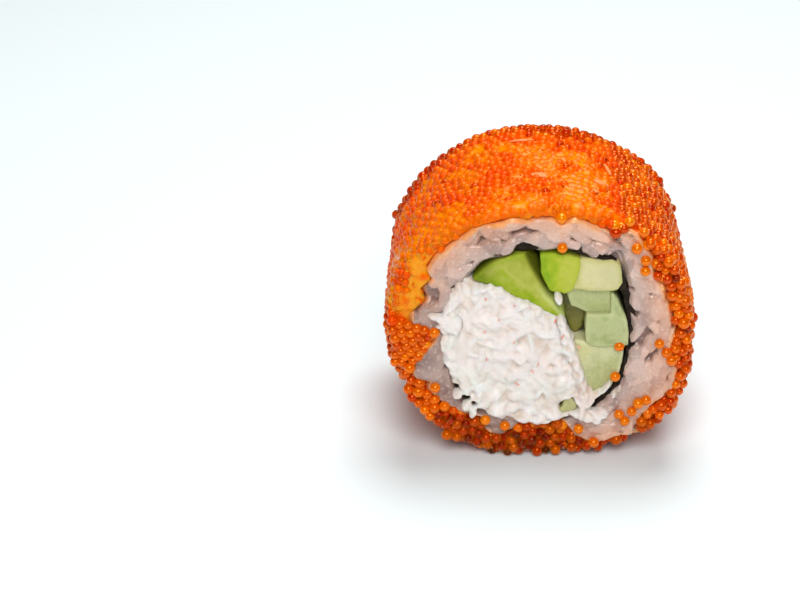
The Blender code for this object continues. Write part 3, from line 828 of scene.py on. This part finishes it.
def riceMaterial():
    look = newMaterial(
        "rice", (0.75, 0.48, 0.38), (0.55, (1.0, 0.6, 0.5), 1.0),
        Roughness=0.18, IOR=1.42, Specular_IOR_Level=0.4, Coat_Weight=0.9, Coat_Roughness=0.08,
    )
    cloud = addMottle(look, Size=300.0, Sharpness=0.35)
    fine = addMottle(look, Size=1200.0, Sharpness=0.5, Seed=5.0)
    # Specks: partly white specks in the rice, partly painted glints
    specks = addMottle(look, Size=1900.0, Sharpness=0.7, Level=0.63, Seed=9.0)
    grain = readMask(look, "grain")
    inside = mixColours(look, grain, (0.34, 0.235, 0.215), (0.68, 0.47, 0.41))
    outside = mixColours(look, grain, (0.62, 0.25, 0.13), (0.90, 0.47, 0.28))
    nearRoe = addNode(look.node_tree, "MapRange", readMask(look, "nearRoe"), 0.2, 0.95).outputs[0]
    paint(
        look,
        mixColours(look, nearRoe, inside, outside),
        ("shaded", 1.0, (0.26, 0.15, 0.13)),
        (cloud["Mask"], 0.42, (0.80, 0.59, 0.49)),
        # painted highlight on the edges of the grains
        ("rim", 0.45, (0.94, 0.71, 0.58)),
        # painted shade in the creases between the grains
        ("crease", 0.8, (0.26, 0.13, 0.10)),
        # white specks in the rice and painted glints
        (specks["Mask"], 0.3, (1.0, 0.86, 0.78)),
        ("amber", 1.0, (1.0, 0.42, 0.10)),
    )
    addBump(look, fine["Relief"], 0.7, 0.15)
    return look


# The seaweed

seaweed = {"thickness": 0.5, "end": 14.55, "wrinkle": 0.2, "endWander": 0.35, "grid": (420, 64)}

# Where the sheet is thicker, as angle in degrees, half spread, how much inward and outward
seaweedFolds = ((5.0, 34.0, 0.75, 0.0), (47.0, 10.0, 0.3, 1.3), (98.0, 9.0, 0.5, 0.6))


def buildSeaweed():
    def placeOf(u, v):
        angles = 2.0 * np.pi * u
        marks, end = [0.0, 0.44, 0.5, 0.94, 1.0], seaweed["end"]
        y = np.interp(v, marks, [-end, end, end, -end, -end])
        outer = np.interp(v, marks, [1, 1, 0, 0, 1])
        flat = ovalPlaces(roll["seaweed"], angles)
        grow = 0.05 * outer - seaweed["thickness"] * (1.0 - outer)
        turned = np.degrees(np.arctan2(flat[:, 1] - roll["seaweed"][1], flat[:, 0]))
        atFront = smoothStep(-10.0, -13.5, y)
        for angle, spread, inward, outward in seaweedFolds:
            share = atFront * np.exp(-(((turned - angle) / spread) ** 2))
            grow += share * (outward * outer - inward * (1.0 - outer))
        grow += seaweed["wrinkle"] * ripple(standing(flat, y), 1.3, 6.0)
        flat = ovalPlaces(roll["seaweed"], angles, grow)
        ends = seaweed["endWander"] * ripple(standing(flat, 0 * y), 0.9, 8.0)
        return narrowed(standing(flat, y * (1.0 + ends / half)))

    return wrappedGrid("seaweedSheet", *seaweed["grid"], placeOf)


def seaweedMaterial():
    look = newMaterial("seaweed", (0.02, 0.012, 0.007), Roughness=0.65, Specular_IOR_Level=0.2)
    cloud = addMottle(look, Size=900.0, Sharpness=0.4)
    paint(look, mixColours(look, cloud["Mask"], (0.006, 0.004, 0.002), (0.034, 0.019, 0.010)))
    addBump(look, cloud["Relief"], 0.8, 0.3)
    return look


# The crab salad

salad = {
    "flow": 2.15,  # the way most flakes lie, in radians from X
    "flakes": 1200,
    "flakesApart": 1.05,
    "flakeLong": (0.9, 2.7),
    "flakeWide": (0.45, 1.2),
    "crown": 0.95,
    "levels": (-0.75, 0.3),
    "tilt": 0.14,
    "edgeCrumbs": 170,
    "crumbRoom": ((-15, 10), (5.5, 32)),  # over x and z
    "crumbReach": 1.2,
    "crumbSize": (0.45, 0.95),
    "coreLength": 0.975,
    "coreLeft": -13.4,
    "voxel": 0.26,
    "seed": 31,
}

# Sauce and crumbs that have spread past the salad: x, z, half length, half width, angle in degrees
saladSpills = (
    (-13.0, 23.8, 1.7, 0.9, 165), (-14.4, 23.5, 1.7, 0.45, 150), (-15.0, 24.4, 1.6, 0.32, 172),
    (-14.6, 22.9, 1.3, 0.28, 205), (-12.4, 23.0, 1.5, 1.0, 100), (-15.9, 24.1, 0.9, 0.25, 160),
    (-12.0, 11.0, 0.9, 0.7, 20), (-10.6, 8.9, 1.0, 0.8, 40), (-9.6, 7.8, 0.9, 0.6, 60),
    (-6.0, 7.9, 1.6, 0.6, 5), (-2.0, 7.0, 1.8, 0.8, 170), (0.9, 6.6, 1.7, 0.7, 5), (2.8, 7.4, 1.4, 0.7, 20),
    (4.6, 7.6, 1.8, 0.4, 12), (7.9, 9.6, 1.5, 0.6, 40), (9.0, 10.9, 1.5, 0.35, 45),
    (10.6, 12.4, 1.3, 0.3, 55), (6.8, 7.9, 1.4, 0.8, 30), (8.0, 7.4, 1.4, 1.0, 20), (9.3, 7.6, 1.3, 0.9, 10),
    (10.4, 7.9, 1.0, 0.6, 150), (9.2, 6.7, 0.9, 0.6, 160), (11.8, 11.1, 0.6, 0.35, 30),
    (12.6, 12.0, 0.6, 0.3, 60), (2.9, 27.6, 1.05, 0.65, 115), (3.5, 23.4, 1.5, 0.8, 105),
    (4.1, 21.6, 1.6, 0.9, 108), (4.8, 19.4, 1.6, 0.9, 108), (5.6, 17.0, 1.7, 0.9, 106),
    (6.3, 14.7, 1.6, 0.9, 104), (6.9, 12.6, 1.5, 0.9, 100), (7.4, 10.9, 1.0, 0.8, 90),
)


def buildSalad():
    core = copyOfNode("crabSaladCore", "crab_salad")
    outline = surfaceOf(core)
    places = readPlaces(core)
    places[:, 1] *= salad["coreLength"]
    # Its blunt spill at the left is drawn in, so that the thin ones show
    left = salad["coreLeft"]
    places[:, 0] = np.where(places[:, 0] < left, left + 0.2 * (places[:, 0] - left), places[:, 0])
    writePlaces(core, places)
    draw = random.Random(salad["seed"])
    spots, turns, sizes = [], [], []
    for x, z, long, wide, angle in saladSpills:
        spots.append((x, -half - 0.05, z))
        turns.append(laidTurn(math.radians(angle), 0.0, draw.uniform(-0.3, 0.3)))
        sizes.append((long, 0.3 + 0.45 * wide, wide))
    # Crumbs stand out round the rim, where a spot is on the salad and one beside it isn't
    for side in (-1, 1):
        wanted = len(spots) + salad["edgeCrumbs"]
        while len(spots) < wanted:
            x, z = (draw.uniform(*ends) for ends in salad["crumbRoom"])
            beside = [middle + draw.uniform(-salad["crumbReach"], salad["crumbReach"]) for middle in (x, z)]
            if z > 29.5 or x + 0.45 * z > 11.5 and z > 21.5:  # beside the wedge and its notch
                continue
            if reachedFrom(outline, x, z, side) is None or reachedFrom(outline, *beside, side) is not None:
                continue
            size = draw.uniform(*salad["crumbSize"])
            spots.append((x, side * (half - 0.6 + draw.gauss(0, 0.2)), z))
            angle = salad["flow"] + draw.gauss(0, 0.9)
            turns.append(laidTurn(angle, draw.gauss(0, 0.3), draw.uniform(0, 6.3)))
            sizes.append((size * draw.uniform(1.0, 1.7), size, 0.8 * size))
    piece = joined("crabSalad", core, beads("crumbs", 3, narrowed(np.array(spots)), turns, sizes))
    applyModifier(piece, "REMESH", mode="VOXEL", voxel_size=salad["voxel"] * mm)
    applyModifier(piece, "SMOOTH", factor=0.5, iterations=2)
    places = readPlaces(piece)
    normals = readNormals(piece)
    tones, hollowShades = np.full(len(places), 0.5), np.zeros(len(places))
    for side in (-1, 1):
        spread = np.random.default_rng(salad["seed"] + side)
        spots = spread.uniform(0.0, 1.0, (salad["flakes"], 2)) * [30.0, 28.0] - [18.0, -4.5]
        spots = spreadOut(spots, 1.2 * salad["flakesApart"], 8)
        turns = salad["flow"] + spread.normal(0, 0.8, len(spots))
        lumps = makeLumps(
            spread, spots, salad["flakeLong"], salad["flakeWide"], turns,
            salad["levels"], salad["crown"], salad["tilt"],
        )
        facing = side * normals[:, 1] > 0.2
        height, tone, _ = lumpField(places[facing, 0], places[facing, 2], lumps, -0.5, 2.0, 0.1)
        places[facing, 1] += side * (1.2 * height - 0.3) * smoothStep(0.2, 0.7, side * normals[facing, 1])
        # Painted shade: the low dips between the flakes get a darker, warmer tint
        tones[facing], hollowShades[facing] = tone, smoothStep(1.0, 0.15, height)
    writePlaces(piece, places)
    applyModifier(piece, "SMOOTH", factor=0.5, iterations=1)
    places = readPlaces(piece) + 0.06 * normals * ripple(places, 0.6, 12.0)[:, None]
    writePlaces(piece, places)
    addMasks(piece, flake=tones, hollow=hollowShades)
    shadeSmooth(piece)
    return piece


# Small red shreds of crab skin on the front: x, z, half length, angle in degrees
redShreds = (
    (-8.0, 27.5, 0.45, 110), (2.5, 23.7, 0.4, 70), (3.7, 21.6, 0.5, 60), (-8.0, 21.8, 0.3, 80),
    (0.1, 16.0, 0.35, 70), (-0.6, 14.7, 0.45, 130), (-2.8, 12.5, 0.4, 150), (-3.6, 20.5, 0.25, 60),
    (-7.7, 17.4, 0.5, 95), (6.9, 12.2, 0.15, 0), (-3.6, 26.4, 0.2, 30), (-1.3, 26.2, 0.15, 0),
    (6.2, 19.0, 0.3, 110), (-6.0, 24.0, 0.2, 20),
)


def seated(piece, spots, sink):  # the same spots with their y on the piece's front
    surface = surfaceOf(piece)
    met = [(x, reachedFrom(surface, x, z, -1), z) for x, z in spots]
    return np.array([(x, -half if y is None else y + sink, z) for x, y, z in met])


def buildShreds(saladPiece):
    spots = seated(saladPiece, [(x, z) for x, z, _, _ in redShreds], 0.03)
    turns = [laidTurn(math.radians(angle), 0.0, 0.3) for _, _, _, angle in redShreds]
    return beads("crabShreds", 3, spots, turns, [(1.3 * long, 0.12, 0.17) for _, _, long, _ in redShreds])


def shredMaterial():
    look = newMaterial("crabShreds", (0.9, 0.25, 0.2), (0.4, (1.0, 0.5, 0.4), 0.3), Roughness=0.35, IOR=1.42)
    cloud = addMottle(look, Size=1500.0, Sharpness=0.3)
    paint(look, mixColours(look, cloud["Mask"], (0.88, 0.28, 0.23), (0.94, 0.55, 0.48)))
    return look


def saladMaterial():
    look = newMaterial(
        "crabSalad", (0.94, 0.89, 0.85), (0.45, (1.0, 0.7, 0.5), 0.6),
        Roughness=0.33, IOR=1.42, Coat_Weight=0.25, Coat_Roughness=0.25,
    )
    cloud = addMottle(look, Size=260.0, Sharpness=0.25)
    blush = addMottle(look, Size=170.0, Sharpness=0.6, Seed=3.0)
    fine = addMottle(look, Size=700.0, Seed=8.0)
    paint(
        look,
        mixColours(look, cloud["Mask"], (0.72, 0.64, 0.54), (0.90, 0.86, 0.81)),
        ("flake", 0.7, (0.96, 0.94, 0.92)),
        (blush["Mask"], 0.7, (0.95, 0.82, 0.79)),
        # painted shade in the low dips between the flakes
        ("hollow", 0.8, (0.70, 0.52, 0.39)),
    )
    addBump(look, fine["Relief"], 0.6, 0.2)
    return look


# The sticks of avocado and cucumber

flesh = {
    "avocado": {"glow": (0.25, (1.0, 0.9, 0.3), 0.8), "Roughness": 0.33, "Specular_IOR_Level": 0.12},
    "cucumber": {
        "glow": (0.4, (0.9, 1.0, 0.5), 1.2),
        "Roughness": 0.3, "Specular_IOR_Level": 0.25, "Coat_Weight": 0.3, "Coat_Roughness": 0.15,
    },
}

# Each has how far it is set back from the front and from the back, the slope of its colours over the cut as
# degrees, start and length in mm, its colours, that of its rims and specks, and the cut as x, z
sticks = {
    "avocado_wedge": {
        "name": "avocadoWedge", "slot": "avocado_green", "setBack": (0.0, 0.4), "slope": (60, 22.4, 7.5),
        "colours": (
            (0.08, (0.20, 0.36, 0.004)), (0.3, (0.36, 0.45, 0.02)), (0.6, (0.52, 0.52, 0.10)),
            (1.0, (0.38, 0.40, 0.05)),
        ),
        "rim": (0.34, 0.46, 0.02),
        "cut": (
            (-9.9, 30.6), (-8.2, 32.2), (-6.6, 33.3), (-4.9, 34.0), (-3.4, 34.6), (-1.3, 34.7), (-0.4, 33.4),
            (0.3, 31.5), (0.7, 30.0), (1.6, 28.6), (2.5, 26.9), (3.4, 25.4), (3.9, 24.3), (3.5, 24.0),
            (1.7, 24.9), (0.0, 25.9), (-1.7, 26.7), (-3.9, 27.8), (-6.1, 29.0), (-8.0, 29.9),
        ),
    },
    "avocado_green_block": {
        "name": "avocadoGreenBlock", "slot": "avocado_green", "setBack": (0.2, 0.3), "slope": (0, -0.5, 6.0),
        "colours": (
            (0.12, (0.07, 0.23, 0.002)), (0.4, (0.20, 0.38, 0.006)), (0.8, (0.45, 0.54, 0.03)),
            (1.0, (0.56, 0.57, 0.08)),
        ),
        "rim": (0.40, 0.52, 0.03),
        "cut": (
            (0.1, 34.5), (1.9, 34.7), (4.0, 34.4), (5.9, 33.9), (5.9, 32.0), (5.6, 30.1), (4.8, 28.6),
            (3.8, 28.1), (1.6, 28.7), (0.9, 30.0), (0.3, 31.7),
        ),
    },
    "avocado_pale_block": {
        "name": "avocadoPaleBlock", "slot": "avocado_pale", "setBack": (0.1, 0.4), "slope": (0, 5.0, 7.0),
        "colours": (
            (0.0, (0.54, 0.55, 0.14)), (0.25, (0.67, 0.63, 0.24)), (0.6, (0.76, 0.69, 0.38)),
            (1.0, (0.70, 0.64, 0.36)),
        ),
        "rim": (0.55, 0.53, 0.16),
        "cut": (
            (6.0, 33.9), (7.6, 33.8), (9.3, 33.5), (10.7, 33.6), (11.7, 33.1), (12.1, 31.8), (12.2, 30.0),
            (11.7, 28.9), (10.2, 28.6), (7.8, 28.7), (5.1, 29.0), (5.6, 30.5), (5.9, 32.0),
        ),
    },
    "cucumber_top": {
        "name": "cucumberTop", "slot": "cucumber", "setBack": (0.9, 0.2), "slope": (90, 23.5, 5.0),
        "colours": ((0.1, (0.34, 0.38, 0.10)), (1.0, (0.48, 0.50, 0.22))),
        "rim": (0.62, 0.64, 0.34),
        "cut": (
            (4.5, 29.1), (7.8, 28.8), (10.7, 28.6), (10.9, 26.5), (11.2, 24.4), (9.0, 24.4), (7.5, 24.6),
            (6.0, 25.4), (5.0, 25.8), (4.3, 27.6),
        ),
    },
    "cucumber_middle": {
        "name": "cucumberMiddle", "slot": "cucumber", "setBack": (0.1, 0.9), "slope": (90, 18.0, 11.0),
        "colours": (
            (0.3, (0.33, 0.38, 0.12)), (0.55, (0.48, 0.51, 0.23)), (0.82, (0.51, 0.54, 0.25)),
            (1.0, (0.38, 0.44, 0.16)),
        ),
        "rim": (0.62, 0.64, 0.34),
        "cut": (
            (7.3, 24.6), (9.0, 24.5), (10.9, 24.5), (10.9, 28.3), (11.6, 27.2), (12.5, 25.3), (13.3, 23.3),
            (13.6, 21.4), (13.6, 19.5), (10.5, 19.2), (8.3, 19.2), (7.4, 19.7), (7.2, 22.3),
        ),
    },
    "cucumber_low": {
        "name": "cucumberLow", "slot": "cucumber", "setBack": (0.6, 0.3), "slope": (-50, -9.7, 7.0),
        "colours": ((0.2, (0.66, 0.64, 0.30)), (0.6, (0.62, 0.62, 0.33)), (1.0, (0.46, 0.48, 0.19))),
        "rim": (0.78, 0.76, 0.50),
        "cut": (
            (5.5, 19.9), (8.3, 19.4), (11.4, 19.4), (13.0, 19.3), (12.9, 16.2), (12.3, 14.1), (11.3, 12.0),
            (9.5, 10.2), (8.6, 10.0), (7.8, 11.3), (6.8, 14.6), (5.8, 18.1),
        ),
    },
    # Painted shade: this stick lies far back in a dark gap, and its colours are painted nearly black
    "cucumber_inner": {
        "name": "cucumberInner", "slot": "cucumber", "setBack": (3.2, 2.4), "slope": (0, 2.5, 4.0),
        "colours": ((0.1, (0.04, 0.04, 0.003)), (1.0, (0.28, 0.25, 0.05))),
        "rim": (0.24, 0.24, 0.04),
        "cut": (
            (3.4, 26.2), (4.4, 27.8), (5.3, 26.1), (7.1, 24.9), (7.1, 22.5), (6.8, 21.0), (5.7, 19.6),
            (5.0, 20.8), (3.9, 23.7),
        ),
    },
    "cucumber_sliver": {
        "name": "cucumberSliver", "slot": "cucumber", "setBack": (-0.25, 0.3), "slope": (0, 1.5, 5.0),
        "colours": ((0.0, (0.42, 0.44, 0.14)), (1.0, (0.53, 0.50, 0.22))),
        "rim": (0.56, 0.54, 0.26),
        "cut": (
            (5.2, 10.3), (6.0, 9.5), (6.2, 8.7), (5.7, 8.1), (4.8, 7.8), (3.2, 7.9), (4.0, 8.6), (4.3, 9.6),
            (4.6, 10.2),
        ),
    },
}

wear = {"voxel": 0.2, "swell": 0.13, "wave": 0.14, "waveLength": 2.0, "grain": 0.07}  # of all the sticks, mm
wedge = {"cutSlope": 1.6, "cutDepth": 2.5, "greenEnd": (-5.0, -9.5), "greenShare": 0.55}

# The wedge's right edge is cut away towards the notch, from this line on: x, z
wedgeRidge = ((3.9, 24.3), (2.4, 26.2), (1.0, 27.8), (-0.5, 30.5), (-1.8, 32.9), (-2.5, 34.5))


def edgeDistance(edge, x, z):
    nearest = np.full(len(x), np.inf)
    for start, end in zip(edge, np.roll(edge, -1, axis=0)):
        along, dx, dz = end - start, x - start[0], z - start[1]
        share = np.clip((dx * along[0] + dz * along[1]) / (along @ along), 0.0, 1.0)
        nearest = np.minimum(nearest, np.hypot(dx - share * along[0], dz - share * along[1]))
    return nearest


def buildStick(node):
    stick = sticks[node]
    outline, (front, back) = np.array(stick["cut"]), stick["setBack"]
    circle = bpy.ops.mesh.primitive_circle_add
    piece = added(stick["name"], circle, vertices=len(outline), radius=mm, fill_type="NGON")
    writePlaces(piece, standing(outline, np.full(len(outline), front - half)))
    bpy.ops.object.mode_set(mode="EDIT")
    bpy.ops.mesh.select_all(action="SELECT")
    length = roll["length"] - front - back
    bpy.ops.mesh.extrude_region_move(TRANSFORM_OT_translate={"value": (0.0, length * mm, 0.0)})
    bpy.ops.object.mode_set(mode="OBJECT")
    closeUp(piece)
    applyModifier(piece, "REMESH", mode="VOXEL", voxel_size=wear["voxel"] * mm)
    applyModifier(piece, "SMOOTH", factor=0.5, iterations=2)
    places = readPlaces(piece) + wear["swell"] * readNormals(piece)
    places += wear["wave"] * ripples(places, wear["waveLength"])
    places[:, 1] += wear["grain"] * ripple(places, 0.6, 4.0)
    facet, side = np.zeros(len(places)), np.zeros(len(places))
    if node == "avocado_wedge":
        past = places[:, 0] - np.interp(places[:, 2], *np.array(wedgeRidge)[:, ::-1].T)
        # Painted shade on the face cut away towards the notch, and the darker green of the wedge's left tip,
        # which is its own colour
        facet = smoothStep(0.0, 0.6, past) * smoothStep(25.0, 30.0, places[:, 2])
        facet = np.maximum(facet, wedge["greenShare"] * smoothStep(*wedge["greenEnd"], places[:, 0]))
        # Painted highlight: a pale strip on the front just left of the ridge
        side = smoothStep(-0.9, -0.4, past) * (1.0 - smoothStep(27.6, 30.2, places[:, 2]))
        cut = wedge["cutSlope"] * np.clip(past, 0.0, wedge["cutDepth"])
        places[:, 1] += cut * smoothStep(-6.0, -12.0, places[:, 1])
    # Towards the rear the seaweed is rounder, and a stick gives way to it
    share = np.maximum(ovalShare(roll["seaweed"], places[:, 0], places[:, 2], -0.95), 1.0)
    share = 1.0 + (share - 1.0) * smoothStep(-12.0, -4.0, places[:, 1])
    for axis, middle in ((0, roll["seaweed"][0]), (2, roll["seaweed"][1])):
        places[:, axis] = middle + (places[:, axis] - middle) / share
    writePlaces(piece, narrowed(places))
    edge = smoothStep(0.75, 0.05, edgeDistance(outline, places[:, 0], places[:, 2]))
    addMasks(piece, facet=facet, side=side, edge=edge)
    shadeSmooth(piece)
    return piece


# A mask that runs from 0 to 1 across the cut, at an angle from X
def addSlope(look, angle, start, length):
    place = addNode(look.node_tree, "TexCoord").outputs["Object"]
    turned = addNode(look.node_tree, "Mapping", place)
    turned.inputs["Rotation"].default_value = (0.0, math.radians(angle), 0.0)
    across = addNode(look.node_tree, "SeparateXYZ", turned.outputs[0]).outputs["X"]
    return addNode(look.node_tree, "MapRange", across, start * mm, (start + length) * mm).outputs[0]


# Flesh whose colour runs through the stick's colours, with faint clouds along the grain
def fleshMaterial(stick):
    stops, rim = stick["colours"], stick["rim"]
    look = newMaterial(stick["name"], stops[0][1], **flesh[stick["slot"].split("_")[0]])
    cloud = addMottle(look, Size=520.0, Sharpness=0.25, Stretch=0.25, Seed=float(len(stick["name"])))
    slope = addSlope(look, *stick["slope"])
    shifted = addMath(look.node_tree, "MULTIPLY_ADD", cloud["Mask"], 0.5, slope)
    ramp = addNode(look.node_tree, "ValToRGB", shifted)
    while len(ramp.color_ramp.elements) < len(stops):
        ramp.color_ramp.elements.new(0.5)
    for element, (stop, colour) in zip(ramp.color_ramp.elements, stops):
        element.position, element.color = stop, (*colour, 1.0)
    specks = addMottle(look, Size=2200.0, Sharpness=0.5, Seed=4.0)
    paint(
        look,
        ramp.outputs["Color"],
        (specks["Mask"], 0.2, rim),
        ("edge", 0.5, rim),
        # painted highlight on the strip beside the ridge
        ("side", 0.6, (0.60, 0.66, 0.24)),
        # painted shade by the notch, and the wedge's darker green tip
        ("facet", 0.95, (0.09, 0.10, 0.005)),
    )
    fine = addMottle(look, Size=600.0, Seed=2.0)
    addBump(look, fine["Relief"], 0.8, 0.25)
    return look


# Puts the pieces together

def dress(piece, look, slot, *nodes):
    piece.data.materials.clear()
    piece.data.materials.append(look)
    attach(piece, "root")
    if nodes:
        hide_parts(*nodes)


seaweedPiece = buildSeaweed()
dress(seaweedPiece, seaweedMaterial(), "seaweed", "seaweed_wrap")
riceLook = riceMaterial()
ricePieces = [buildRice("riceFront", -1), buildRice("riceBack", 1)]
for piece in ricePieces:
    dress(piece, riceLook, "rice", "rice_ring")
print("rice built")
saladPiece = buildSalad()
dress(saladPiece, saladMaterial(), "crab", "crab_salad")
dress(buildShreds(saladPiece), shredMaterial(), "crab")
print("crab salad built")
stickPieces = [buildStick(node) for node in sticks]
for piece, (node, stick) in zip(stickPieces, sticks.items()):
    dress(piece, fleshMaterial(stick), stick["slot"], node)
print("sticks of avocado and cucumber built")
eggDraw = np.random.default_rng(roe["seed"])
eggs = layEggs(eggDraw)
gelPiece = buildGel(eggs)
dress(gelPiece, gelMaterial(), "roe", "roe_coat")
fronts = [surfaceOf(piece) for piece in [ricePieces[0], saladPiece, *stickPieces]]
for piece in (*buildRoe(eggDraw, eggs), buildSingles(fronts)):
    dress(piece, roeMaterial(piece.name), "roe")
dress(buildFlecks(gelPiece), newMaterial("riceFlecks", (0.9, 0.29, 0.09), Roughness=0.6, IOR=1.3), "rice")
print("roe built")

# The ground, the lights and the camera

def aimed(name, data, place, aim):
    piece = newObject(name, data)
    piece.location = place
    piece.rotation_euler = (Vector(aim) - Vector(place)).to_track_quat("-Z", "Y").to_euler()
    return piece


ground = added("ground", bpy.ops.mesh.primitive_plane_add, size=3.0)
ground.data.materials.append(newMaterial("ground", (0.83, 0.9, 0.91), Roughness=0.9))

studio = {
    "world": 0.16,
    "aim": (0.0, 0.0, 0.02),
    "lights": (
        # place, size, power
        ((0.03, 0.15, 0.45), 0.30, 1.75),
        ((0.0, -0.37, 0.41), 0.38, 2.0),
    ),
}

world = bpy.data.worlds.new("studio")
world.use_nodes = True
background = world.node_tree.nodes["Background"].inputs
background["Color"].default_value = (1.0, 1.0, 1.0, 1.0)
background["Strength"].default_value = studio["world"]
world.cycles_visibility.glossy = False  # wet eggs would turn grey with it
bpy.context.scene.world = world
for number, (place, size, power) in enumerate(studio["lights"]):
    lamp = bpy.data.lights.new(f"softBox{number}", "AREA")
    lamp.shape, lamp.size, lamp.energy = "DISK", size, power
    aimed(lamp.name, lamp, place, studio["aim"])

view = {"place": (-0.015405, -0.354843, 0.209889), "aim": (-0.020978, -0.002198, 0.020006), "lens": 116.1}
lens = bpy.data.cameras.new("view")
lens.lens, lens.sensor_width = view["lens"], 36.0
bpy.context.scene.camera = aimed("view", lens, view["place"], view["aim"])
bpy.context.scene.view_settings.view_transform = "Standard"
